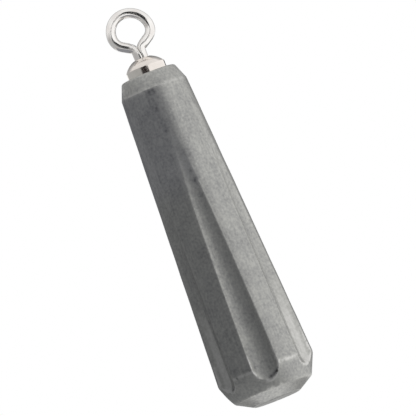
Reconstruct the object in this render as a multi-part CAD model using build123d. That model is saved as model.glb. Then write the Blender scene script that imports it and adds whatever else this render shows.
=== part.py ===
from build123d import *
from build123d.topology import SkipClean

import math
import os

# Sizes are in millimetres. The sinker stands on its wide end, with +Z along its axis to the line eye.

# Weight: a slim cone with a chamfer at each end and a coned foot
body_length = 24.2
belly_radius = 3.5
lower_chamfer_width = 0.68
lower_chamfer_height = 1.51
foot_cone_width = 1.18
foot_cone_height = 0.68
top_rim_width = 0.48
shoulder_width = 0.45
shoulder_height = 1.15
foot_round = 0.5
foot_cone_round = 0.4
belly_round = 0.7
edge_round = 0.12

# Flutes: round grooves with a ball end at the belly, fading out below the shoulder
flute_count = 6
flute_radius = 1.22
flute_depth = 0.6
flute_end_drop = 0.3
flute_fade = 3.75

# Swivel barrel: a thin tube domed over at both ends, sunk into the weight
barrel_radius = 1.41
barrel_wall = 0.3
barrel_skirt = 2.6
barrel_showing = 0.53
dome_height = 0.74

# Wire eyes: two legs swaged into a round neck, headed inside the barrel
wire_radius = 0.345
neck_radius = 0.5
neck_chamfer = 0.12
neck_bend_radius = 0.45
leg_inset = 0.03
leg_run = 0.2
leg_split = 0.03
flank_angle = 32.0
head_thickness = 0.5

# Line eye: round, with its lower flanks drawn in to the neck
eye_radius = 1.36
eye_hip_radius = 0.9
eye_neck_showing = 0.69

# Anchor eye: squeezed to an oval that enters the socket
anchor_side = 1.1
anchor_neck_showing = 0.35

# Clearances
neck_fit = 0.05
head_seat_gap = 0.06
head_side_gap = 0.16
glue_gap = 0.06
anchor_side_gap = 0.17
socket_floor_gap = 0.4
resin_recess = 0.1

# Weight sizes that follow
socket_radius = barrel_radius + glue_gap
top_radius = socket_radius + top_rim_width
shoulder_radius = top_radius + shoulder_width
shoulder_level = body_length - shoulder_height
foot_cone_radius = belly_radius - lower_chamfer_width
foot_radius = foot_cone_radius - foot_cone_width
belly_level = foot_cone_height + lower_chamfer_height

# Swivel sizes that follow
dome_sphere = (barrel_radius**2 + dome_height**2) / (2 * dome_height)
bore_radius = barrel_radius - barrel_wall
bore_sphere = dome_sphere - barrel_wall
hole_radius = neck_radius + neck_fit
skirt_top = body_length + barrel_showing
skirt_base = skirt_top - barrel_skirt
upper_dome_centre = skirt_top + dome_height - dome_sphere
lower_dome_centre = skirt_base - dome_height + dome_sphere
barrel_end = math.sqrt(dome_sphere**2 - hole_radius**2)
head_radius = bore_radius - head_side_gap
head_sphere = bore_sphere - head_seat_gap
leg_offset = neck_radius - wire_radius - leg_inset
anchor_radius = socket_radius - anchor_side_gap - wire_radius
flank = math.radians(flank_angle)

standing = (Align.CENTER, Align.CENTER, Align.MIN)


def cone_radius(level):
    """Radius of the long cone at a height between the belly and the shoulder."""
    share = (level - belly_level) / (shoulder_level - belly_level)
    return belly_radius + share * (shoulder_radius - belly_radius)


def flute_cutter():
    """A ball-ended rod whose inner side is a flute's floor, leaning in to where the flute fades out."""
    end_level = belly_level - flute_end_drop
    fade_level = shoulder_level - flute_fade
    floor_radius = belly_radius - flute_depth
    run = fade_level - end_level
    lean = math.atan2(floor_radius - cone_radius(fade_level), run)
    length = run / math.cos(lean) + flute_radius
    rod = Sphere(flute_radius) + Cylinder(flute_radius, length, align=standing)
    centre_radius = floor_radius + flute_radius * math.cos(lean)
    return Pos(centre_radius, 0, end_level) * Rot(0, -math.degrees(lean), 0) * rod


def turned_end(*corners):
    """A turned end of the weight, from each corner's radius, level and rounding, or None to leave it sharp."""
    places = [(radius, level) for radius, level, rounding in corners]
    section = make_face(Polyline((0, places[0][1]), *places, (0, places[-1][1]), close=True))
    for radius, level, rounding in corners:
        if rounding:
            section = fillet(section.vertices().sort_by_distance((radius, level))[0], rounding)
    return revolve(Plane.XZ * section, Axis.Z)


def weight(socket):
    """The fluted cone with its blind socket, each land a face of its own; one flute faces the front, -Y."""
    low = belly_level + belly_round / 2
    high = shoulder_level - edge_round
    low_corner = (cone_radius(low), low)
    high_corner = (cone_radius(high), high)
    foot_end = turned_end(
        (foot_radius, 0, foot_round),
        (foot_cone_radius, foot_cone_height, foot_cone_round),
        (belly_radius, belly_level, belly_round),
        (*low_corner, None),
    )
    top_end = turned_end(
        (*high_corner, None),
        (shoulder_radius, shoulder_level, edge_round),
        (top_radius, body_length, edge_round),
    )
    land_section = make_face(Polyline((0, low), low_corner, high_corner, (0, high), close=True))
    pitch = 360 / flute_count
    land = revolve(Plane.XZ * land_section, Axis.Z, revolution_arc=pitch)
    front = -90
    with SkipClean():
        cone = foot_end + top_end + PolarLocations(0, flute_count, start_angle=front + pitch / 2) * land
        return cone - PolarLocations(0, flute_count, start_angle=front) * flute_cutter() - socket


def domed_form(radius, sphere_radius):
    """A solid barrel of one radius, with its ends domed about the swivel's two dome centres."""
    corner = math.sqrt(sphere_radius**2 - radius**2)
    upper_corner = (radius, upper_dome_centre + corner)
    lower_corner = (radius, lower_dome_centre - corner)
    upper_pole = (0, upper_dome_centre + sphere_radius)
    lower_pole = (0, lower_dome_centre - sphere_radius)
    outline = [
        TangentArc(upper_pole, upper_corner, tangent=(1, 0)),
        Line(upper_corner, lower_corner),
        TangentArc(lower_pole, lower_corner, tangent=(1, 0)),
        Line(lower_pole, upper_pole),
    ]
    return revolve(Plane.XZ * make_face(outline), Axis.Z)


def barrel():
    """The barrel's shell, pierced at both ends for the necks of the eyes."""
    shell = domed_form(barrel_radius, dome_sphere) - domed_form(bore_radius, bore_sphere)
    middle = (skirt_top + skirt_base) / 2
    return shell - Pos(0, 0, middle) * Cylinder(hole_radius, barrel_skirt + 2 * dome_height)


def loop_places(loop_radius, hip_radius, side):
    """Places on half a loop, seen from the neck's corner: the hip's start and end and the loop's centre."""
    hip_x = loop_radius - hip_radius + hip_radius * math.sin(flank)
    hip_start = (hip_x, (hip_x - leg_offset) * math.tan(flank))
    hip_end = (loop_radius, hip_start[1] + hip_radius * math.cos(flank))
    return hip_start, hip_end, (0, hip_end[1] + side)


def loop_half(loop_radius, hip_radius, side):
    """Half of a wire loop, from inside the neck up to the crown, with the neck's corner at the origin."""
    hip_start, hip_end, centre = loop_places(loop_radius, hip_radius, side)
    bend_cut = neck_bend_radius * math.tan((math.pi / 2 - flank) / 2)
    outward = (math.cos(flank), math.sin(flank))
    leg_start = (leg_offset, -bend_cut - leg_run)
    bend_start = (leg_offset, -bend_cut)
    bend_end = (leg_offset + bend_cut * outward[0], bend_cut * outward[1])
    crown_start = (loop_radius, centre[1])
    crown = (0, centre[1] + loop_radius)
    path = [
        Line(leg_start, bend_start),
        TangentArc(bend_start, bend_end, tangent=(0, 1)),
        Line(bend_end, hip_start),
        TangentArc(hip_start, hip_end, tangent=outward),
        TangentArc(crown_start, crown, tangent=(0, 1)),
    ]
    if side > 0:
        path.append(Line(hip_end, crown_start))
    section = Pos(leg_start[0], 0, leg_start[1]) * Circle(wire_radius)
    half = sweep(section, path=Plane.XZ * Wire(path))
    return split(half, bisect_by=Plane.YZ)


def wire_eye(loop_radius, hip_radius, side, neck_showing):
    """One eye with its neck and head, about a dome centre at the origin, before its legs are parted."""
    corner_level = barrel_end + neck_showing
    half = Pos(0, 0, corner_level) * loop_half(loop_radius, hip_radius, side)
    head_base = math.sqrt(head_sphere**2 - head_radius**2) - head_thickness
    head = Cylinder(head_radius, head_sphere - head_base, align=standing)
    head = Pos(0, 0, head_base) * head & Sphere(head_sphere)
    neck = Pos(0, 0, head_base) * Cylinder(neck_radius, corner_level - head_base, align=standing)
    neck = chamfer(neck.edges().group_by(Axis.Z)[-1], neck_chamfer)
    return half + mirror(half, about=Plane.YZ) + neck + head


def leg_gap(loop_radius, hip_radius, side, neck_showing):
    """The thin gap between an eye's two legs, from the crown of its head up into its loop."""
    centre = loop_places(loop_radius, hip_radius, side)[-1]
    height = barrel_end + neck_showing + centre[1] - head_sphere
    return Pos(0, 0, head_sphere) * Box(leg_split, 4 * neck_radius, height, align=standing)


line_sizes = (eye_radius, eye_hip_radius, 0, eye_neck_showing)
anchor_sizes = (anchor_radius, anchor_radius, anchor_side, anchor_neck_showing)
line_place = Pos(0, 0, upper_dome_centre)
anchor_place = Pos(0, 0, lower_dome_centre) * Rot(180, 0, 0)
line_blank = line_place * wire_eye(*line_sizes)
anchor_blank = anchor_place * wire_eye(*anchor_sizes)

# The socket runs down past the anchor eye
anchor_crown = anchor_blank.bounding_box().min.Z
socket_floor = anchor_crown - socket_floor_gap
socket = Pos(0, 0, socket_floor) * Cylinder(socket_radius, body_length - socket_floor, align=standing)
resin_top = Pos(0, 0, body_length - resin_recess) * Cylinder(socket_radius, resin_recess, align=standing)

nodes = {
    "sinker_body": weight(socket),
    "swivel_barrel": barrel(),
    "line_eye": line_blank - line_place * leg_gap(*line_sizes),
    "anchor_eye": anchor_blank - anchor_place * leg_gap(*anchor_sizes),
    "potting_resin": socket - resin_top - domed_form(barrel_radius, dome_sphere) - anchor_blank,
}

os.makedirs("parts", exist_ok=True)
for name, shape in nodes.items():
    export_step(shape, f"parts/{name}.step")
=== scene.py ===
import logging
import math
from dataclasses import dataclass
from enum import Enum
from typing import Any

import bpy
import numpy as np
from mathutils import Matrix, Vector


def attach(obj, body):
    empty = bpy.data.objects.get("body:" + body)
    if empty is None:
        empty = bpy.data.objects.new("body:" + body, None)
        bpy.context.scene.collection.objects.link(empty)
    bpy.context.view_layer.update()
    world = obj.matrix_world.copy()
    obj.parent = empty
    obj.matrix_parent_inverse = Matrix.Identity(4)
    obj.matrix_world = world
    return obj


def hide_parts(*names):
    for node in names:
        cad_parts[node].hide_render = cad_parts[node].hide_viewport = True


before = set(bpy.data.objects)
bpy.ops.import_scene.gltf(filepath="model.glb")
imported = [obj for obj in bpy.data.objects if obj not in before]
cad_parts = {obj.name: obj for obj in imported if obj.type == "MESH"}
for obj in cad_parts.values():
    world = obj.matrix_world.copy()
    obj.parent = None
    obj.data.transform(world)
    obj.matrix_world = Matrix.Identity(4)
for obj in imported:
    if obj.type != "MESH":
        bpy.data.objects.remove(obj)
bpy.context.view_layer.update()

# Sizes are in millimetres; a mesh is scaled to metres when it is made.
# Angles are in degrees, unless a docstring says radians.
# The sinker stands on its wide end, +Z runs along its axis to the line eye, and the front faces -Y.

METRES_PER_MM = 0.001
TINY = 1e-6
BEND_PLACES = 7
WEAR = "edge_wear"
# Painted highlight and painted shade in the flutes, and stains, by point.
LIGHT_SHADE_AND_STAINS = "flute_burnish"
COVER = "card_cover"

Pair = tuple[float, float]
Place = tuple[float, float, float]

log = logging.getLogger("sinker")


class Body(Enum):
    """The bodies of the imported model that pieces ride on."""

    WEIGHT = "weight"
    EYE = "eye"


class Slot(Enum):
    """The record's material slots."""

    TUNGSTEN = "sintered_tungsten"
    NICKEL = "nickel_plate"
    WIRE = "bright_wire"


class Ends(Enum):
    """How a run of rings is closed."""

    POINTS = "a point at each end"
    JOINED = "the last ring meets the first"
    OPEN = "left open, and each ring with it"


def linear(colour: str) -> tuple[float, float, float, float]:
    """Turns an sRGB hex colour to linear light.

    Args:
        colour: The colour as "#rrggbb".

    Returns:
        Red, green and blue in linear light, and an alpha of 1.
    """
    shares = [int(colour[place : place + 2], 16) / 255 for place in (1, 3, 5)]
    red, green, blue = [s / 12.92 if s <= 0.04045 else ((s + 0.055) / 1.055) ** 2.4 for s in shares]
    return red, green, blue, 1.0


def pattern_scale(size: float) -> float:
    """The scale at which a texture's features are about this many millimetres wide."""
    return 1 / (size * METRES_PER_MM)


def add_node(
    tree: bpy.types.NodeTree,
    kind: str,
    inputs: dict[str | int, Any] | None = None,
    stops: dict[float, str] | None = None,
    **settings: Any,
) -> bpy.types.NodeOutputs:
    """Adds a shader node with its settings and links.

    Args:
        tree: The node tree that gets the node.
        kind: Blender's name for the kind of node, after "ShaderNode".
        inputs: A value, or an output socket to link from, for each input.
        stops: Hex colours by place, where the node is a colour ramp.
        settings: The node's own properties.

    Returns:
        The new node's outputs.
    """
    node = tree.nodes.new("ShaderNode" + kind)
    for name, value in settings.items():
        setattr(node, name, value)
    for name, value in (inputs or {}).items():
        if isinstance(value, bpy.types.NodeSocket):
            tree.links.new(value, node.inputs[name])
        else:
            node.inputs[name].default_value = value
    for number, (place, colour) in enumerate((stops or {}).items()):
        elements = node.color_ramp.elements
        element = elements[number] if number < 2 else elements.new(place)
        element.position = place
        element.color = linear(colour)
    return node.outputs


def new_material(name: str) -> bpy.types.Material:
    """Makes a material without nodes.

    Args:
        name: The material's name.

    Returns:
        The material, with an empty node tree.
    """
    material = bpy.data.materials.new(name)
    material.use_nodes = True
    material.node_tree.nodes.clear()
    return material


def smooth_step(low: float, high: float, value: np.ndarray) -> np.ndarray:
    """Rises smoothly from 0, where the value is low or less, to 1, where it is high or more."""
    share = np.clip((value - low) / (high - low), 0, 1)
    return share * share * (3 - 2 * share)


def smooth_least(one: np.ndarray, other: np.ndarray, blend: float) -> np.ndarray:
    """The lesser of two fields, rounded off where they differ by less than the blend."""
    closeness = np.maximum(blend - np.abs(one - other), 0) / blend
    return np.minimum(one, other) - closeness**2 * blend / 4


def arc(centre: Pair, radius: float, start: float, end: float, count: int) -> np.ndarray:
    """Places along a round stretch of an outline, from its start angle to its end angle, one row each."""
    angles = np.radians(np.linspace(start, end, count))
    return np.column_stack([centre[0] + radius * np.cos(angles), centre[1] + radius * np.sin(angles)])


@dataclass(frozen=True)
class Corner:
    """A corner of a turned section, with the rounding of its edge and how rubbed the edge is."""

    radius: float
    height: float
    rounding: float = 0.0
    wear: float = 0.0


def corners_of(places: np.ndarray) -> list[Corner]:
    """The places of a round stretch as corners without rounding."""
    return [Corner(radius, height) for radius, height in places]


def turned_section(corners: list[Corner], spacing: float) -> np.ndarray:
    """Rounds the corners of a section and divides its straight runs.

    Args:
        corners: The corners in order; the first and last stay sharp.
        spacing: The longest step along a straight run.

    Returns:
        Radius and height along the section, one row each.
    """
    places = np.array([(corner.radius, corner.height) for corner in corners])
    along = np.linspace(0, 1, BEND_PLACES)[:, None]
    stretches = [places[:1]]
    for number in range(1, len(corners) - 1):
        before, place, after = places[number - 1 : number + 2]
        inward = (place - before) / np.linalg.norm(place - before)
        outward = (after - place) / np.linalg.norm(after - place)
        turn = math.acos(float(np.clip(inward @ outward, -1, 1)))
        cut = corners[number].rounding * math.tan(turn / 2)
        start, end = place - inward * cut, place + outward * cut
        bend = (1 - along) ** 2 * start + 2 * along * (1 - along) * place + along**2 * end
        stretches.append(bend if cut > 0 else place[None])
    stretches.append(places[-1:])
    section = [stretches[0]]
    for before, after in zip(stretches, stretches[1:]):
        steps = max(1, math.ceil(np.linalg.norm(after[0] - before[-1]) / spacing))
        run_shares = np.linspace(0, 1, steps + 1)[1:-1, None]
        section.append(before[-1] + run_shares * (after[0] - before[-1]))
        section.append(after)
    return np.vstack(section)


@dataclass
class Shell:
    """A skinned surface, in millimetres."""

    points: np.ndarray
    faces: list[list[int]]


def skin(rings: np.ndarray, ends: Ends) -> Shell:
    """Skins a run of rings.

    Args:
        rings: Points by ring, by place round the ring, by axis.
        ends: How the run is closed.

    Returns:
        The skinned surface.
    """
    count, around, _ = rings.shape
    index = np.arange(count * around).reshape(count, around)
    if ends is Ends.JOINED:
        index = np.vstack([index, index[:1]])
    near, far = index, np.roll(index, -1, axis=1)
    if ends is Ends.OPEN:
        near, far = index[:, :-1], index[:, 1:]
    quads = np.stack([near[:-1], far[:-1], far[1:], near[1:]], axis=-1)
    faces = quads.reshape(-1, 4).tolist()
    points = rings.reshape(-1, 3)
    if ends is Ends.POINTS:
        first, last = len(points), len(points) + 1
        points = np.vstack([points, rings[0].mean(axis=0), rings[-1].mean(axis=0)])
        faces += [[first, int(b), int(a)] for a, b in zip(near[0], far[0])]
        faces += [[last, int(a), int(b)] for a, b in zip(near[-1], far[-1])]
    return Shell(points, faces)


def turn_rings(radii: np.ndarray, heights: np.ndarray, azimuths: np.ndarray) -> np.ndarray:
    """Lays out rings about the axis.

    Args:
        radii: Radius by ring, and by place round the ring or the same all round.
        heights: Height by ring.
        azimuths: Angle from +X by place round the ring, in radians.

    Returns:
        Points by ring, by place round the ring, by axis.
    """
    across, deep = radii * np.cos(azimuths), radii * np.sin(azimuths)
    levels = np.broadcast_to(heights[:, None], across.shape)
    return np.stack([across, deep, levels], axis=-1)


def whole_turn_angles(count: int) -> np.ndarray:
    """Evenly spread angles of a whole turn, in radians."""
    return np.linspace(0, 2 * math.pi, count, endpoint=False)


def make_mesh(name: str, shells: list[Shell], material: bpy.types.Material) -> bpy.types.Object:
    """Makes one smooth mesh object of some shells.

    Args:
        name: The object's name.
        shells: The shells, in millimetres.
        material: The finish of the whole mesh.

    Returns:
        The object, linked to the scene.
    """
    points, faces = [], []
    for shell in shells:
        faces += [[corner + len(points) for corner in face] for face in shell.faces]
        points += (shell.points * METRES_PER_MM).tolist()
    mesh = bpy.data.meshes.new(name)
    mesh.from_pydata(points, [], faces)
    mesh.polygons.foreach_set("use_smooth", [True] * len(faces))
    mesh.materials.append(material)
    mesh.update()
    made = bpy.data.objects.new(name, mesh)
    bpy.context.scene.collection.objects.link(made)
    return made


def set_values(piece: bpy.types.Object, name: str, values: np.ndarray) -> None:
    """Gives each point of a mesh a value that its material can read by name."""
    attribute = piece.data.attributes.new(name, "FLOAT", "POINT")
    attribute.data.foreach_set("value", values)


def seat(piece: bpy.types.Object, node: str, body: Body) -> None:
    """Puts a piece in the place of a CAD node.

    Args:
        piece: The piece.
        node: The CAD node that it stands for.
        body: The body that it rides on.
    """
    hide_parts(node)
    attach(piece, body.value)
    log.info("%s: %d faces, in place of %s", piece.name, len(piece.data.polygons), node)


def dress_node(node: str, material: bpy.types.Material) -> None:
    """Gives a CAD node that stays in view its finish.

    Args:
        node: The CAD node.
        material: Its finish.
    """
    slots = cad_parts[node].data.materials
    slots.clear()
    slots.append(material)
    log.info("%s: dressed in %s", node, material.name)


@dataclass(frozen=True)
class SinteredTungsten:
    """Tungsten alloy powder, pressed in a die and sintered, left bare.

    The eye sees a dull mid grey that spreads every reflection wide, a grit with dark pores, faint patches,
    lines along the axis where the die dragged, paler rubbed edges and stains, with a painted highlight low
    in the side flutes and painted shade in the round ends of the other flutes. The grit is really about
    0.03 mm, too fine to show, and is drawn coarser.
    """

    # The darkest tone, for stains and for the painted shade in the flutes' round ends.
    dirt_and_painted_shade: str = "#5c5b59"
    pore: str = "#929292"
    dull: str = "#acacaa"
    pale: str = "#babab6"
    rubbed: str = "#d8d7d4"
    dull_roughness: float = 0.5
    rubbed_roughness: float = 0.34
    grit_size: float = 0.18
    patch_size: float = 1.1
    drag_width: float = 0.14
    drag_stretch: float = 0.04
    rub_size: float = 0.4
    grit_height: float = 0.012
    patch_share: float = 0.27
    drag_share: float = 0.2
    # How much the painted light and stains move the tone.
    painted_light_and_stain_share: float = 0.3
    rub_least: float = 0.32
    rub_most: float = 0.52
    rub_start: float = 0.5

    def material(self) -> bpy.types.Material:
        """Makes the material.

        Returns:
            The material.
        """
        material = new_material("sintered_tungsten_pressed")
        tree = material.node_tree
        place = add_node(tree, "TexCoord")["Object"]
        drawn_inputs = {"Vector": place, "Scale": (1.0, 1.0, self.drag_stretch)}
        drawn = add_node(tree, "Mapping", drawn_inputs)["Vector"]
        patterns = {
            "grit": (place, self.grit_size, 3.0),
            "patch": (place, self.patch_size, 4.0),
            "rub": (place, self.rub_size, 2.0),
            "drag": (drawn, self.drag_width, 2.0),
        }
        layers = {}
        for name, (vector, size, detail) in patterns.items():
            noise_inputs = {"Vector": vector, "Scale": pattern_scale(size), "Detail": detail}
            layers[name] = add_node(tree, "TexNoise", noise_inputs)["Fac"]
        for name in (LIGHT_SHADE_AND_STAINS, WEAR):
            layers[name] = add_node(tree, "Attribute", attribute_name=name)["Fac"]
        broken_inputs = {"Value": layers["rub"], "From Min": self.rub_least, "From Max": self.rub_most}
        broken = add_node(tree, "MapRange", broken_inputs)["Result"]
        shares = {
            "drag": self.drag_share,
            "patch": self.patch_share,
            "grit": 1 - self.patch_share - self.drag_share,
            LIGHT_SHADE_AND_STAINS: self.painted_light_and_stain_share,
            WEAR: broken,
        }
        tone = 0.0
        for name, share in shares.items():
            tone_inputs = {0: layers[name], 1: share, 2: tone}
            tone = add_node(tree, "Math", tone_inputs, operation="MULTIPLY_ADD")[0]
        stops = {0.0: self.dirt_and_painted_shade, 0.3: self.pore, 0.45: self.dull, 0.58: self.pale, 1.0: self.rubbed}
        colour = add_node(tree, "ValToRGB", {"Fac": tone}, stops)["Color"]
        roughness_inputs = {
            "Value": tone,
            "From Min": self.rub_start,
            "From Max": 1.0,
            "To Min": self.dull_roughness,
            "To Max": self.rubbed_roughness,
        }
        roughness = add_node(tree, "MapRange", roughness_inputs)["Result"]
        bump_inputs = {"Height": layers["grit"], "Distance": self.grit_height * METRES_PER_MM}
        bump = add_node(tree, "Bump", bump_inputs)["Normal"]
        shader_inputs = {"Base Color": colour, "Roughness": roughness, "Normal": bump, "Metallic": 1.0}
        shader = add_node(tree, "BsdfPrincipled", shader_inputs)["BSDF"]
        add_node(tree, "OutputMaterial", {"Surface": shader})
        return material


@dataclass(frozen=True)
class BrightMetal:
    """Polished metal that mirrors the room.

    The eye sees near white with black streaks where it mirrors dark things, a warm tint, and smears of
    handling, about a millimetre across, that blur the mirror a little.
    """

    name: str
    clean: str
    smeared: str
    clean_roughness: float
    smeared_roughness: float
    smear_size: float
    wave_height: float
    smear_start: float = 0.35
    smear_end: float = 0.7

    def material(self) -> bpy.types.Material:
        """Makes the material.

        Returns:
            The material.
        """
        material = new_material(self.name)
        tree = material.node_tree
        place = add_node(tree, "TexCoord")["Object"]
        smear_inputs = {"Vector": place, "Scale": pattern_scale(self.smear_size), "Detail": 5.0}
        smear = add_node(tree, "TexNoise", smear_inputs)["Fac"]
        stops = {self.smear_start: self.clean, self.smear_end: self.smeared}
        colour = add_node(tree, "ValToRGB", {"Fac": smear}, stops)["Color"]
        roughness_inputs = {
            "Value": smear,
            "From Min": self.smear_start,
            "From Max": self.smear_end,
            "To Min": self.clean_roughness,
            "To Max": self.smeared_roughness,
        }
        roughness = add_node(tree, "MapRange", roughness_inputs)["Result"]
        bump_inputs = {"Height": smear, "Distance": self.wave_height * METRES_PER_MM}
        bump = add_node(tree, "Bump", bump_inputs)["Normal"]
        shader_inputs = {"Base Color": colour, "Roughness": roughness, "Normal": bump, "Metallic": 1.0}
        shader = add_node(tree, "BsdfPrincipled", shader_inputs)["BSDF"]
        add_node(tree, "OutputMaterial", {"Surface": shader})
        return material


NICKEL_PLATE = BrightMetal(
    name="nickel_plate_on_brass",
    clean="#f4ede7",
    smeared="#e9e2db",
    clean_roughness=0.07,
    smeared_roughness=0.15,
    smear_size=0.9,
    wave_height=0.004,
)
DRAWN_WIRE = BrightMetal(
    name="stainless_wire_drawn",
    clean="#fbf9f6",
    smeared="#f0ebe7",
    clean_roughness=0.09,
    smeared_roughness=0.17,
    smear_size=0.7,
    wave_height=0.003,
)


@dataclass(frozen=True)
class CuredResin:
    """Clear epoxy adhesive, cast into the socket and cured.

    The eye sees a glossy amber fill, a little cloudy with small bubbles about 0.2 mm across.
    """

    clear: str = "#a9793a"
    cloudy: str = "#c79c5c"
    bubble_size: float = 0.2
    roughness: float = 0.18
    ior: float = 1.55

    def material(self) -> bpy.types.Material:
        """Makes the material.

        Returns:
            The material.
        """
        material = new_material("epoxy_resin_cast")
        tree = material.node_tree
        place = add_node(tree, "TexCoord")["Object"]
        bubble_inputs = {"Vector": place, "Scale": pattern_scale(self.bubble_size)}
        bubble = add_node(tree, "TexVoronoi", bubble_inputs)["Distance"]
        stops = {0.1: self.cloudy, 0.5: self.clear}
        colour = add_node(tree, "ValToRGB", {"Fac": bubble}, stops)["Color"]
        shader_inputs = {"Base Color": colour, "Roughness": self.roughness, "IOR": self.ior}
        shader = add_node(tree, "BsdfPrincipled", shader_inputs)["BSDF"]
        add_node(tree, "OutputMaterial", {"Surface": shader})
        return material


@dataclass(frozen=True)
class Mark:
    """A dent, a swelling or a stain on the weight.

    Its azimuth runs from the front towards +X. Its depth is in millimetres for a dent, less than 0 for a
    swelling, and a share of the tone for a stain.
    """

    azimuth: float
    height: float
    width: float
    depth: float


@dataclass
class Weight:
    """The fluted weight with its blind socket."""

    # Form
    length: float = 24.2
    belly_radius: float = 3.5
    lower_chamfer_width: float = 0.68
    lower_chamfer_height: float = 1.51
    foot_cone_width: float = 1.18
    foot_cone_height: float = 0.68
    shoulder_radius: float = 2.4
    shoulder_height: float = 1.15
    top_radius: float = 1.95
    socket_radius: float = 1.47
    socket_floor: float = 17.29
    # Flutes
    flute_count: int = 6
    flute_radius: float = 1.22
    flute_depth: float = 0.6
    flute_end_drop: float = 0.3
    side_end_rise: float = 0.35
    flute_fade: float = 3.75
    # Rounded edges and waver
    foot_round: float = 0.5
    foot_cone_round: float = 0.3
    belly_round: float = 0.7
    edge_round: float = 0.2
    lip_blend: float = 0.04
    unevenness: float = 0.008
    # Wear, painted highlight and painted shade
    lip_wear: float = 0.12
    low_lip_wear: float = 0.8
    wear_width: float = 0.13
    side_sines: Pair = (0.2, 0.6)
    # Painted highlight low on the far walls of the side flutes.
    side_flute_painted_highlight: float = 1.15
    highlight_start: Pair = (0.0, 0.06)
    highlight_end: Pair = (0.19, 0.26)
    # Painted shade in the lower corner of the flutes' round ends.
    painted_shade_turn: float = 38.0
    painted_shade_depth: float = 2.0
    painted_shade_spread: Pair = (0.55, 0.85)
    painted_shade_rim: float = 0.1
    # Mesh
    places_around: int = 360
    ring_spacing: float = 0.12
    socket_ring_spacing: float = 0.6
    # Marks of this one sample
    nicks: tuple[Mark, ...] = (
        Mark(-38, 2.2, 0.16, 0.06),
        Mark(-31, 2.25, 0.22, 0.05),
        Mark(21, 2.2, 0.18, 0.05),
        Mark(30, 2.15, 0.2, 0.04),
        Mark(38, 2.2, 0.15, 0.05),
        Mark(13, 0.68, 0.13, 0.1),
        Mark(-1, 0.7, 0.14, 0.09),
        Mark(-7, 0.66, 0.16, 0.09),
        Mark(-45, 0.2, 0.14, 0.16),
        Mark(-90, 1.25, 0.65, -0.08),
        Mark(140, 2.2, 0.2, 0.05),
        Mark(-150, 0.75, 0.2, 0.06),
    )
    stains: tuple[Mark, ...] = (
        Mark(-11, 22.9, 0.2, 0.8),
        Mark(-4, 22.92, 0.22, 1.0),
        Mark(-8, 22.0, 0.5, 0.25),
        Mark(-8, 21.6, 0.15, 0.7),
        Mark(-7, 20.8, 0.5, 0.25),
        Mark(-6, 19.9, 0.2, 0.8),
        Mark(-8, 19.2, 0.4, 0.25),
        Mark(-8, 16.8, 0.2, 0.4),
        Mark(5, 16.7, 0.15, 0.9),
        Mark(5.5, 16.0, 0.18, 0.9),
        Mark(7, 14.8, 0.2, 0.5),
        Mark(13, 16.5, 0.14, 0.5),
        Mark(12, 16.1, 0.16, 0.6),
        Mark(19, 16.6, 0.13, 0.4),
        Mark(-40, 2.55, 0.3, 0.15),
        Mark(-21, 2.4, 0.33, 0.5),
        Mark(-49, 0.22, 0.13, 0.5),
    )

    def belly_level(self) -> float:
        """Height of the widest edge."""
        return self.foot_cone_height + self.lower_chamfer_height

    def shoulder_level(self) -> float:
        """Height of the edge under the top chamfer."""
        return self.length - self.shoulder_height

    def outer_corners(self) -> list[Corner]:
        """The corners of the outside, from the foot to the top rim."""
        foot_cone_radius = self.belly_radius - self.lower_chamfer_width
        return [
            Corner(foot_cone_radius - self.foot_cone_width, 0, self.foot_round),
            Corner(foot_cone_radius, self.foot_cone_height, self.foot_cone_round, wear=0.12),
            Corner(self.belly_radius, self.belly_level(), self.belly_round, wear=0.5),
            Corner(self.shoulder_radius, self.shoulder_level(), self.edge_round, wear=0.25),
            Corner(self.top_radius, self.length, self.edge_round, wear=0.1),
        ]

    def flute_end(self, angles: np.ndarray) -> np.ndarray:
        """Height of the middle of a flute's round end, higher in the flutes that face sideways."""
        sideways = smooth_step(*self.side_sines, np.abs(np.sin(angles)))
        return self.belly_level() - self.flute_end_drop + self.side_end_rise * sideways

    def from_flute(self, angles: np.ndarray) -> np.ndarray:
        """Angles from the middle of the nearest flute, in radians."""
        pitch = 2 * math.pi / self.flute_count
        return (angles + pitch / 2) % pitch - pitch / 2

    def section(self) -> np.ndarray:
        """The section from the middle of the foot, up the outside and down the socket to its floor.

        Returns:
            Radius and height along the section, one row each.
        """
        socket_edge = self.edge_round / 3
        rim = Corner((self.top_radius + self.socket_radius) / 2, self.length)
        outside = [Corner(self.ring_spacing, 0), *self.outer_corners(), rim]
        socket = [
            rim,
            Corner(self.socket_radius, self.length, socket_edge),
            Corner(self.socket_radius, self.socket_floor, socket_edge),
            Corner(self.ring_spacing, self.socket_floor),
        ]
        inside = turned_section(socket, self.socket_ring_spacing)
        return np.vstack([turned_section(outside, self.ring_spacing), inside[1:]])

    def flute_reach(self, angles: np.ndarray, heights: np.ndarray) -> np.ndarray:
        """How far out the flutes let the surface reach.

        Args:
            angles: Angle from the front by place, in radians.
            heights: Height by place.

        Returns:
            The radius of the nearest flute's wall, and a large radius away from the flutes.
        """
        end_level = self.flute_end(angles)
        fade_level = self.shoulder_level() - self.flute_fade
        cone_share = (fade_level - self.belly_level()) / (self.shoulder_level() - self.belly_level())
        fade_radius = self.belly_radius + cone_share * (self.shoulder_radius - self.belly_radius)
        floor_radius = self.belly_radius - self.flute_depth
        run = fade_level - self.belly_level() + self.flute_end_drop
        lean = math.atan2(floor_radius - fade_radius, run)
        above_end = np.maximum(heights - end_level, 0)
        below_end = np.maximum(end_level - heights, 0)
        centre = floor_radius + self.flute_radius * math.cos(lean) - above_end * math.tan(lean)
        groove = np.sqrt(np.maximum(self.flute_radius**2 - below_end**2, 0))
        aside = centre * np.sin(self.from_flute(angles))
        reach = np.sqrt(centre**2 - aside**2) - np.sqrt(np.maximum(groove**2 - aside**2, 0))
        return np.where(np.abs(aside) < groove, reach, 2 * self.belly_radius)

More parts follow.
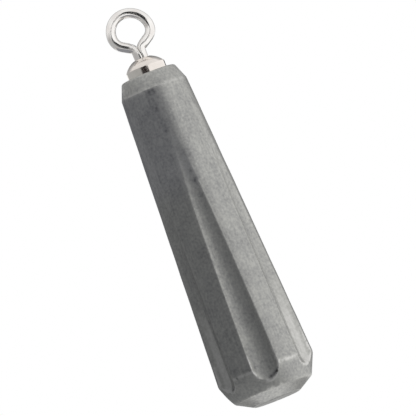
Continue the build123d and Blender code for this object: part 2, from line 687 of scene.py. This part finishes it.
    def marked(self, marks: tuple[Mark, ...], angles: np.ndarray, heights: np.ndarray) -> np.ndarray:
        """Adds up some marks.

        Args:
            marks: The marks.
            angles: Angle from the front by place, in radians.
            heights: Height by place.

        Returns:
            The depth of the marks by place.
        """
        depth = np.zeros_like(heights)
        for mark in marks:
            turn = (angles - math.radians(mark.azimuth) + math.pi) % (2 * math.pi) - math.pi
            away = np.hypot(turn * self.belly_radius, heights - mark.height)
            depth = depth + mark.depth * np.exp(-((away / mark.width) ** 2))
        return depth

    def dents(self, angles: np.ndarray, heights: np.ndarray) -> np.ndarray:
        """How far the surface is knocked in or wavers, from the nicks and the die's unevenness.

        Args:
            angles: Angle from the front by place, in radians.
            heights: Height by place.

        Returns:
            The depth by place.
        """
        waver = np.sin(3 * angles + 0.9 * heights) + np.sin(7 * angles - 1.7 * heights + 1)
        uneven = (waver + np.sin(2.3 * heights + 2 * np.sin(2 * angles))) / 3
        return self.unevenness * uneven + self.marked(self.nicks, angles, heights)

    def wear(self, radii: np.ndarray, heights: np.ndarray, depth: np.ndarray) -> np.ndarray:
        """How rubbed the edges are: the lips of the flutes, most of all low down, and the turned edges.

        Args:
            radii: Radius by place, before the flutes are pressed in.
            heights: Height by place.
            depth: Depth below that radius in a flute by place, less than 0 outside the flutes.

        Returns:
            The wear by place.
        """
        low = 1 - smooth_step(self.belly_level(), 2 * self.belly_level(), heights)
        lips = self.lip_wear + low * (self.low_lip_wear - self.lip_wear)
        wear = lips * np.exp(-((depth / self.wear_width) ** 2))
        for corner in self.outer_corners():
            away = np.hypot(radii - corner.radius, heights - corner.height)
            rubbed = corner.wear * np.exp(-((away / self.wear_width) ** 2))
            wear = np.maximum(wear, np.where(depth < 0, rubbed, 0))
        return wear

    def painted_light_and_stains(self, angles: np.ndarray, heights: np.ndarray, depth: np.ndarray) -> np.ndarray:
        """Painted highlight in side flutes, painted shade in other round ends, and stains.

        Args:
            angles: Angle from the front by place, in radians.
            heights: Height by place.
            depth: Depth in a flute by place, less than 0 outside the flutes.

        Returns:
            The painted light and stains by place, less than 0 where there is painted shade or a stain.
        """
        # A painted highlight low on the far wall of each side flute, past its middle.
        low = 1 - smooth_step(2 * self.belly_level(), 4 * self.belly_level(), heights)
        side = smooth_step(*self.side_sines, np.abs(np.sin(angles)))
        past_middle = self.from_flute(angles) * np.sign(np.sin(angles))
        started = smooth_step(*self.highlight_start, past_middle)
        ended = smooth_step(*self.highlight_end, past_middle)
        painted_sheen = self.side_flute_painted_highlight * low * side * started * (1 - ended)
        # Painted shade in the lower corner of each flute's round end, left out in the flutes that face +X.
        aside = self.belly_radius * self.from_flute(angles)
        below = self.flute_end(angles) - heights
        turn = math.radians(self.painted_shade_turn)
        away = np.maximum(np.hypot(aside, below), TINY)
        toward = (aside * math.sin(turn) + below * math.cos(turn)) / away
        shallow = 1 - smooth_step(self.painted_shade_rim, self.flute_depth / 2, depth)
        corner = smooth_step(*self.painted_shade_spread, toward) * shallow
        unshaded_right_flutes = smooth_step(*self.side_sines, np.sin(angles))
        flute = np.where(depth > 0, painted_sheen - self.painted_shade_depth * corner * (1 - unshaded_right_flutes), 0)
        return flute - self.marked(self.stains, angles, heights)

    def build(self) -> None:
        """Builds and dresses the weight."""
        section = self.section()
        azimuths = whole_turn_angles(self.places_around)
        angles = np.broadcast_to(azimuths + math.pi / 2, (len(section), len(azimuths)))
        turned = np.broadcast_to(section[:, :1], angles.shape)
        heights = np.broadcast_to(section[:, 1:], angles.shape)
        outside = (np.arange(len(section)) < np.argmax(section[:, 1]) + 1)[:, None]
        flutes = np.where(outside, self.flute_reach(angles, heights), 2 * self.belly_radius)
        fluted = smooth_least(turned, flutes, self.lip_blend)
        open_face = outside & (turned > self.top_radius / 2)
        radii = fluted - np.where(open_face, self.dents(angles, heights), 0)
        shell = skin(turn_rings(radii, section[:, 1], azimuths), Ends.POINTS)
        piece = make_mesh("weight_pressed", [shell], SinteredTungsten().material())
        depth = np.where(outside, turned - flutes, -self.belly_radius)
        wear = self.wear(turned, heights, depth)
        painted_light_and_stains = self.painted_light_and_stains(angles, heights, depth)
        for name, values in {WEAR: wear, LIGHT_SHADE_AND_STAINS: painted_light_and_stains}.items():
            set_values(piece, name, np.append(values.ravel(), [0.0, 0.0]))
        seat(piece, "sinker_body", Body.WEIGHT)


@dataclass
class Swivel:
    """The rolling swivel's domed barrel, sunk in the weight, and its eye of bent wire for the line."""

    # Barrel
    weight_length: float
    barrel_radius: float = 1.41
    barrel_wall: float = 0.3
    barrel_skirt: float = 2.6
    barrel_showing: float = 0.53
    dome_height: float = 0.74
    dome_edge_round: float = 0.05
    hole_radius: float = 0.55
    hole_edge_round: float = 0.06
    barrel_waver: float = 0.004
    # Wire eye
    wire_radius: float = 0.345
    neck_radius: float = 0.5
    neck_bend_radius: float = 0.3
    neck_showing: float = 0.69
    leg_offset: float = 0.125
    leg_gap: float = 0.02
    leg_edge_round: float = 0.03
    flank_angle: float = 32.0
    eye_radius: float = 1.36
    hip_radius: float = 0.9
    neck_twist: float = 14.0
    eye_lean: float = 0.02
    # Head inside the barrel
    head_radius: float = 0.95
    head_thickness: float = 0.5
    head_seat_gap: float = 0.06
    cap_end: float = 85.0
    # Mesh
    places_around: int = 96
    wire_places_around: int = 40
    dome_places: int = 16
    cap_places: int = 10
    leg_places: int = 14
    bend_places: int = 12
    flank_places: int = 12
    hip_places: int = 16
    crown_places: int = 32

    def dome_sphere(self) -> float:
        """Radius of the sphere that a dome is part of."""
        return (self.barrel_radius**2 + self.dome_height**2) / (2 * self.dome_height)

    def skirt_top(self) -> float:
        """Height of the edge between the skirt and the upper dome."""
        return self.weight_length + self.barrel_showing

    def upper_dome_centre(self) -> float:
        """Height of the upper dome's centre."""
        return self.skirt_top() + self.dome_height - self.dome_sphere()

    def lower_dome_centre(self) -> float:
        """Height of the lower dome's centre."""
        return self.skirt_top() - self.barrel_skirt - self.dome_height + self.dome_sphere()

    def neck_corner(self) -> float:
        """Height at which the eye's flanks leave its neck."""
        hole_level = math.sqrt(self.dome_sphere() ** 2 - self.hole_radius**2)
        return self.upper_dome_centre() + hole_level + self.neck_showing

    def dome(self, sphere: float, skirt_radius: float, upper: bool) -> list[Corner]:
        """A dome's section from its hole out to its skirt.

        Args:
            sphere: Radius of the dome's sphere.
            skirt_radius: Radius of the skirt that it meets.
            upper: Whether it is the dome at the line eye's end.

        Returns:
            The corners, with the hole's edge and the skirt's edge rounded.
        """
        hole = math.degrees(math.acos(self.hole_radius / sphere))
        skirt = math.degrees(math.acos(skirt_radius / sphere))
        side = 1 if upper else -1
        centre = (0.0, self.upper_dome_centre() if upper else self.lower_dome_centre())
        places = arc(centre, sphere, side * hole, side * skirt, self.dome_places)
        first = Corner(*places[0], self.hole_edge_round)
        last = Corner(*places[-1], self.dome_edge_round)
        return [first, *corners_of(places[1:-1]), last]

    def build_barrel(self) -> None:
        """Builds and dresses the barrel, a shell pierced at both ends."""
        bore_radius = self.barrel_radius - self.barrel_wall
        bore_sphere = self.dome_sphere() - self.barrel_wall
        middle = Corner(bore_radius, self.skirt_top() - self.barrel_skirt / 2)
        corners = [
            middle,
            *reversed(self.dome(bore_sphere, bore_radius, upper=False)),
            *self.dome(self.dome_sphere(), self.barrel_radius, upper=False),
            *reversed(self.dome(self.dome_sphere(), self.barrel_radius, upper=True)),
            *self.dome(bore_sphere, bore_radius, upper=True),
            middle,
        ]
        section = turned_section(corners, self.barrel_wall / 3)[:-1]
        azimuths = whole_turn_angles(self.places_around)
        waver = np.sin(3 * azimuths + 2 * section[:, 1:]) + np.sin(5 * azimuths - 3 * section[:, 1:] + 1)
        radii = section[:, :1] - self.barrel_waver * (1 + waver / 2)
        shell = skin(turn_rings(radii, section[:, 1], azimuths), Ends.JOINED)
        piece = make_mesh("barrel_domed", [shell], NICKEL_PLATE.material())
        seat(piece, "swivel_barrel", Body.WEIGHT)

    def wire_path(self) -> np.ndarray:
        """The wire's centreline, from leg to leg round the loop, which is bent a little aside.

        Returns:
            Places across and up, one row each.
        """
        corner = self.neck_corner()
        flank = math.radians(self.flank_angle)
        leg = self.leg_centre()
        turn = 90 - self.flank_angle
        bend_cut = self.neck_bend_radius * math.tan(math.radians(turn) / 2)
        bend_level = corner + (leg - self.leg_offset) * math.tan(flank) - bend_cut
        hip_centre = self.eye_radius - self.hip_radius
        hip_across = hip_centre + self.hip_radius * math.sin(flank)
        hip_start = corner + (hip_across - self.leg_offset) * math.tan(flank)
        loop_level = hip_start + self.hip_radius * math.cos(flank)
        leg_start = self.head_crown() - self.head_thickness / 2
        levels = np.linspace(leg_start, bend_level, self.leg_places)[:-1]
        legs = np.column_stack([np.full_like(levels, leg), levels])
        bend_centre = (leg + self.neck_bend_radius, bend_level)
        bend = arc(bend_centre, self.neck_bend_radius, 180, 180 - turn, self.bend_places)
        hip = arc((hip_centre, loop_level), self.hip_radius, -turn, 0, self.hip_places)
        crown = arc((0.0, loop_level), self.eye_radius, 0, 90, self.crown_places)
        flank_shares = np.linspace(0, 1, self.flank_places)[1:-1, None]
        straight = bend[-1] + flank_shares * (hip[0] - bend[-1])
        half = np.vstack([legs, bend, straight, hip, crown[1:]])
        path = np.vstack([half, half[-2::-1] * (-1, 1)])
        path[:, 0] -= self.eye_lean * np.maximum(path[:, 1] - corner, 0) ** 2 / self.eye_radius
        return path

    def leg_centre(self) -> float:
        """Distance from the axis to the middle of a half-round leg."""
        return 4 * self.neck_radius / (3 * math.pi)

    def head_crown(self) -> float:
        """Height of the top of the head inside the barrel."""
        return self.upper_dome_centre() + self.dome_sphere() - self.barrel_wall - self.head_seat_gap

    def wire_rings(self) -> np.ndarray:
        """Rings along the wire, round in the loop and half-round where the legs lie together in the neck.

        Returns:
            Points by ring, by place round the ring, by axis.
        """
        path = self.wire_path()
        along = np.gradient(path, axis=0)
        along = along / np.linalg.norm(along, axis=1, keepdims=True)
        outward = np.column_stack([along[:, 1], -along[:, 0]])
        angles = whole_turn_angles(self.wire_places_around)
        leg = self.leg_centre()
        round_side = np.sqrt(self.neck_radius**2 - (leg * np.sin(angles)) ** 2) - leg * np.cos(angles)
        flat_side = (leg - self.leg_gap / 2) / np.maximum(-np.cos(angles), TINY)
        half_round = smooth_least(round_side, flat_side, self.leg_edge_round)
        corner = self.neck_corner()
        swaged = 1 - smooth_step(corner - self.wire_radius, corner + self.wire_radius, path[:, 1:])
        reach = self.wire_radius + swaged * (half_round - self.wire_radius)
        across = path[:, :1] + outward[:, :1] * reach * np.cos(angles)
        up = path[:, 1:] + outward[:, 1:] * reach * np.cos(angles)
        deep = reach * np.sin(angles)
        side = np.sign(path[:, :1] + TINY)
        gap_wall = np.full_like(across, -self.leg_gap / 2)
        parted = -smooth_least(-side * across, gap_wall, self.leg_edge_round)
        across = np.where(up < corner + self.hip_radius, side * parted, across)
        twist_start = corner + self.wire_radius / 2
        twist_end = corner - self.neck_showing
        twist = math.radians(self.neck_twist) * (1 - smooth_step(twist_end, twist_start, up))
        turned_across = across * np.cos(twist) - deep * np.sin(twist)
        turned_deep = across * np.sin(twist) + deep * np.cos(twist)
        return np.stack([turned_across, turned_deep, up], axis=-1)

    def head_rings(self) -> np.ndarray:
        """Rings of the head that keeps the eye in the barrel.

        Returns:
            Points by ring, by place round the ring, by axis.
        """
        sphere = self.dome_sphere() - self.barrel_wall - self.head_seat_gap
        rim = math.degrees(math.acos(self.head_radius / sphere))
        cap = arc((0.0, self.upper_dome_centre()), sphere, rim, self.cap_end, self.cap_places)
        base = cap[0, 1] - self.head_thickness
        corners = [
            Corner(cap[-1, 0], base),
            Corner(self.head_radius, base, self.dome_edge_round),
            Corner(*cap[0], self.dome_edge_round),
            *corners_of(cap[1:]),
        ]
        section = turned_section(corners, self.barrel_wall / 2)
        azimuths = whole_turn_angles(self.places_around // 2)
        return turn_rings(section[:, :1], section[:, 1], azimuths)

    def build_line_eye(self) -> None:
        """Builds and dresses the eye that takes the line."""
        shells = [skin(rings, Ends.POINTS) for rings in (self.wire_rings(), self.head_rings())]
        piece = make_mesh("eye_of_bent_wire", shells, DRAWN_WIRE.material())
        seat(piece, "line_eye", Body.EYE)


@dataclass(frozen=True)
class Card:
    """A card bent round the sinker, which the metal mirrors.

    It has one tone, a radius and a height for its lower and its upper edge, and two angles from the front
    that it stands between. It fades over some degrees at either end, and can be clearer at its upper edge.
    """

    name: str
    colour: str
    low: Pair
    high: Pair
    first: float
    last: float
    fades: Pair = (4.0, 4.0)
    high_cover: float = 1.0


@dataclass
class Studio:
    """The white room: a floor, a soft lamp overhead, cards that the metal mirrors, and the camera."""

    # Camera
    view_across: float = 0.435
    view_height: float = 14.06
    view_width: float = 28.71
    view_distance: float = 1200.0
    view_below: float = 4.0
    view_turn: float = 0.8
    view_roll: float = 21.73
    sensor_width: float = 36.0
    # Floor, room and lamp
    floor_side: float = 900.0
    floor_drop: float = 0.02
    floor_colour: str = "#f4f4f3"
    white: str = "#ffffff"
    room_light: float = 0.5
    ceiling_left: float = 0.84
    ceiling_right: float = 0.88
    ceiling_span: float = 0.6
    wall_top: float = 0.2
    ceiling_start: float = 0.5
    lamp_side: float = 900.0
    lamp_place: Place = (160.0, -120.0, 480.0)
    lamp_power: float = 2.5
    # Cards
    lens_card_colour: str = "#2a2b2c"
    lens_card_place: Place = (0.32, -25.0, 29.09)
    lens_card_waist: float = 2.2
    lens_card_reach: float = 16.0
    lens_card_wings: Pair = (58.0, 213.0)
    lens_card_edge: Pair = (0.68, 0.92)
    back_card_colour: str = "#505254"
    back_card_place: Place = (0.0, 4.0, 27.0)
    back_card_reach: float = 10.0
    back_card_drop: float = 2.4
    back_card_edge: Pair = (-0.6, 0.0)
    flat_card_places: int = 180
    card_places: int = 60
    cards: tuple[Card, ...] = (
        Card("grey_flag", "#838486", (5.2, 0.2), (4.75, 16.0), -155, 36, (16.0, 44.0)),
        Card("high_flag", "#898a8f", (4.75, 16.0), (4.6, 24.38), -155, 24, (12.0, 12.0)),
        Card("floor_flag", "#a3a4a5", (2.95, 0.12), (5.2, 0.2), -155, 62, (16.0, 62.0)),
        # Painted shade on the floor under the foot cone's rim, seen only in mirrors.
        Card("left_foot_flag", "#b2b2b2", (1.75, 0.03), (2.9, 0.1), -165, -25, (20.0, 50.0)),
        Card("right_foot_flag", "#c0c0c0", (1.75, 0.03), (2.9, 0.1), 5, 165, (65.0, 20.0)),
        # Painted contact shadow under the foot, seen only in mirrors.
        Card("under_flag", "#cccccc", (0.05, -0.01), (1.7, -0.01), -180, 180),
        Card("pale_flag", "#adb0b0", (11.0, 24.2), (11.0, 25.9), -143, -23),
        Card("brow_flag", "#b2b3b4", (4.6, 25.02), (4.6, 29.5), -155, 0, (20.0, 50.0), 0.0),
        Card("left_flag", "#aba8a6", (13.0, 18.0), (13.0, 28.0), -130, -16, (36.0, 30.0)),
        Card("high_left_flag", "#aba8a6", (13.0, 28.0), (13.0, 32.5), -130, -16, (36.0, 30.0), 0.0),
        Card("dark_flag", "#2a2423", (12.0, 24.6), (12.0, 25.9), -45, 17),
        Card("edge_flag", "#3a3a39", (6.0, 24.5), (6.0, 25.4), 132, 180),
        Card("right_flag", "#8c8c8c", (5.9, 0.3), (5.0, 24.2), 98, 178, (20.0, 4.0)),
    )

    def light_room(self) -> None:
        """Makes the room white to the camera, greyer overhead in mirrors, and an even light otherwise."""
        world = bpy.data.worlds.new("white_room")
        bpy.context.scene.world = world
        world.use_nodes = True
        tree = world.node_tree
        tree.nodes.clear()
        ray = add_node(tree, "LightPath")
        direction = add_node(tree, "TexCoord")["Generated"]
        way = add_node(tree, "SeparateXYZ", {0: direction})
        ceiling_inputs = {
            "Value": way["X"],
            "From Min": -self.ceiling_span,
            "From Max": self.ceiling_span,
            "To Min": self.ceiling_left,
            "To Max": self.ceiling_right,
        }
        ceiling = add_node(tree, "MapRange", ceiling_inputs)["Result"]
        high_inputs = {
            "Value": way["Z"],
            "From Min": self.wall_top,
            "From Max": self.ceiling_start,
            "To Min": 1.0,
            "To Max": ceiling,
        }
        mirrored = add_node(tree, "MapRange", high_inputs)["Result"]
        seen_inputs = {0: ray["Is Camera Ray"], 1: ray["Is Transmission Ray"]}
        seen = add_node(tree, "Math", seen_inputs, operation="MAXIMUM")[0]
        level = add_node(tree, "Math", {0: seen, 1: mirrored}, operation="MAXIMUM")[0]
        shown = add_node(tree, "Math", {0: seen, 1: ray["Is Glossy Ray"]}, operation="MAXIMUM")[0]
        light_inputs = {"Color": linear(self.white), "Strength": self.room_light}
        light = add_node(tree, "Background", light_inputs)[0]
        backdrop_inputs = {"Color": linear(self.white), "Strength": level}
        backdrop = add_node(tree, "Background", backdrop_inputs)[0]
        mixed = add_node(tree, "MixShader", {0: shown, 1: light, 2: backdrop})[0]
        add_node(tree, "OutputWorld", {"Surface": mixed})
        log.info("room: white, light %.2f", self.room_light)

    def floor_material(self) -> bpy.types.Material:
        """The floor's finish: matt paper, white in mirrors, and clear from below, where the camera is.

        Returns:
            The material.
        """
        material = new_material("paper_floor")
        tree = material.node_tree
        paper = add_node(tree, "BsdfDiffuse", {"Color": linear(self.floor_colour)})[0]
        glow = add_node(tree, "Emission", {"Color": linear(self.white)})[0]
        ray = add_node(tree, "LightPath")
        mirror_inputs = {0: ray["Is Glossy Ray"], 1: ray["Is Transmission Ray"]}
        mirrored = add_node(tree, "Math", mirror_inputs, operation="MAXIMUM")[0]
        above = add_node(tree, "MixShader", {0: mirrored, 1: paper, 2: glow})[0]
        clear = add_node(tree, "BsdfTransparent")[0]
        below = add_node(tree, "NewGeometry")["Backfacing"]
        floor = add_node(tree, "MixShader", {0: below, 1: above, 2: clear})[0]
        add_node(tree, "OutputMaterial", {"Surface": floor})
        return material

    def lay_floor(self) -> None:
        """Lays the floor under the sinker's foot."""
        half = self.floor_side / 2
        across = np.array([(-half, -half), (half, -half), (half, half), (-half, half)])
        points = np.column_stack([across, np.full(len(across), -self.floor_drop)])
        make_mesh("floor", [Shell(points, [[0, 1, 2, 3]])], self.floor_material())
        log.info("floor: %.0f mm square", self.floor_side)

    def hang_lamp(self) -> None:
        """Hangs the soft lamp, turned to the sinker; mirrors show the ceiling in its place."""
        light = bpy.data.lights.new("soft_lamp", "AREA")
        light.shape = "SQUARE"
        light.size = self.lamp_side * METRES_PER_MM
        light.energy = self.lamp_power
        lamp = bpy.data.objects.new("soft_lamp", light)
        lamp.location = Vector(self.lamp_place) * METRES_PER_MM
        target = Vector((0, 0, self.view_height)) * METRES_PER_MM
        lamp.rotation_euler = (target - lamp.location).to_track_quat("-Z", "Y").to_euler()
        lamp.visible_glossy = False
        bpy.context.scene.collection.objects.link(lamp)
        log.info("lamp: %.0f mm square, %.1f W", self.lamp_side, self.lamp_power)

    def stand_card(self, name: str, colour: str, shell: Shell, cover: np.ndarray) -> None:
        """Stands a card of one tone that only mirrors show.

        Args:
            name: The card's name.
            colour: The tone that mirrors show.
            shell: The card's surface.
            cover: How solid the card is by point, from 0 where it is clear to 1.
        """
        material = new_material(name)
        tree = material.node_tree
        clear = add_node(tree, "BsdfTransparent")[0]
        tone = add_node(tree, "Emission", {"Color": linear(colour)})[0]
        solid = add_node(tree, "Attribute", attribute_name=COVER)["Fac"]
        faded = add_node(tree, "MixShader", {0: solid, 1: clear, 2: tone})[0]
        add_node(tree, "OutputMaterial", {"Surface": faded})
        card = make_mesh(name, [shell], material)
        set_values(card, COVER, cover)
        for ray in ("camera", "diffuse", "shadow", "transmission"):
            setattr(card, "visible_" + ray, False)
        log.info("card: %s", name)

    def stand_bent_cards(self) -> None:
        """Stands the cards that are bent round the sinker."""
        for card in self.cards:
            section = np.array([card.low, card.high])
            turns = np.linspace(card.first, card.last, self.card_places)
            rings = turn_rings(section[:, :1], section[:, 1], np.radians(turns - 90))
            fade_in = smooth_step(0, card.fades[0], turns - card.first)
            fade_out = smooth_step(0, card.fades[1], card.last - turns)
            cover = np.outer((1.0, card.high_cover), fade_in * fade_out).ravel()
            self.stand_card(card.name, card.colour, skin(rings, Ends.OPEN), cover)

    def stand_flat_card(
        self, name: str, colour: str, place: Place, reach: np.ndarray, rim_cover: float
    ) -> None:
        """Stands a flat card that faces along Y.

        Args:
            name: The card's name.
            colour: The tone that mirrors show.
            place: The card's middle.
            reach: How far it reaches from its middle, by angle over a whole turn.
            rim_cover: How solid it is at its rim.
        """
        angles = whole_turn_angles(len(reach))
        rim = np.column_stack([reach * np.cos(angles), np.zeros_like(angles), reach * np.sin(angles)])
        points = np.vstack([rim, np.zeros(3)]) + place
        faces = [[number, (number + 1) % len(reach), len(reach)] for number in range(len(reach))]
        cover = np.append(np.full(len(reach), rim_cover), 1.0)
        self.stand_card(name, colour, Shell(points, faces), cover)

    def stand_flat_cards(self) -> None:
        """Stands a black waisted card before the eye, for the streaks on it, and a grey one behind it."""
        angles = whole_turn_angles(self.flat_card_places)
        upper_wing, lower_wing = (np.cos(angles - math.radians(lean)) for lean in self.lens_card_wings)
        wing = smooth_step(*self.lens_card_edge, np.maximum(upper_wing, lower_wing))
        reach = self.lens_card_waist + wing * (self.lens_card_reach - self.lens_card_waist)
        self.stand_flat_card("black_card", self.lens_card_colour, self.lens_card_place, reach, 1.0)
        upper = smooth_step(*self.back_card_edge, np.sin(angles))
        reach = self.back_card_drop + upper * (self.back_card_reach - self.back_card_drop)
        self.stand_flat_card("back_card", self.back_card_colour, self.back_card_place, reach, 0.0)

    def set_camera(self) -> None:
        """Sets the camera a little below the sinker's middle, rolled so that the sinker leans left."""
        data = bpy.data.cameras.new("camera")
        data.sensor_width = self.sensor_width
        data.lens = self.sensor_width * self.view_distance / self.view_width
        data.clip_end = 10 * self.view_distance * METRES_PER_MM
        camera = bpy.data.objects.new("camera", data)
        angles = (self.view_below, self.view_roll, self.view_turn)
        below, roll, turn = (math.radians(angle) for angle in angles)
        level = Vector((math.cos(turn), -math.sin(turn), 0))
        ahead = Vector((math.sin(turn), math.cos(turn), 0))
        forward = ahead * math.cos(below) + Vector((0, 0, math.sin(below)))
        upright = level.cross(forward)
        right = level * math.cos(roll) - upright * math.sin(roll)
        up = upright * math.cos(roll) + level * math.sin(roll)
        target = level * self.view_across + Vector((0, 0, self.view_height))
        place = Matrix.Translation((target - forward * self.view_distance) * METRES_PER_MM)
        camera.matrix_world = place @ Matrix((right, up, -forward)).transposed().to_4x4()
        bpy.context.scene.collection.objects.link(camera)
        bpy.context.scene.camera = camera
        log.info("camera: %.0f mm lens at %.0f mm", data.lens, self.view_distance)

    def build(self) -> None:
        """Sets up the whole room."""
        bpy.context.scene.view_settings.view_transform = "Standard"
        self.light_room()
        self.lay_floor()
        self.hang_lamp()
        self.stand_bent_cards()
        self.stand_flat_cards()
        self.set_camera()


def main() -> None:
    """Builds the weight, the swivel and the room."""
    logging.basicConfig(level=logging.INFO, format="%(name)s: %(message)s")
    weight = Weight()
    weight.build()
    swivel = Swivel(weight.length)
    swivel.build_barrel()
    swivel.build_line_eye()
    dress_node("anchor_eye", bpy.data.materials[DRAWN_WIRE.name])
    dress_node("potting_resin", CuredResin().material())
    Studio().build()


if __name__ == "__main__":
    main()
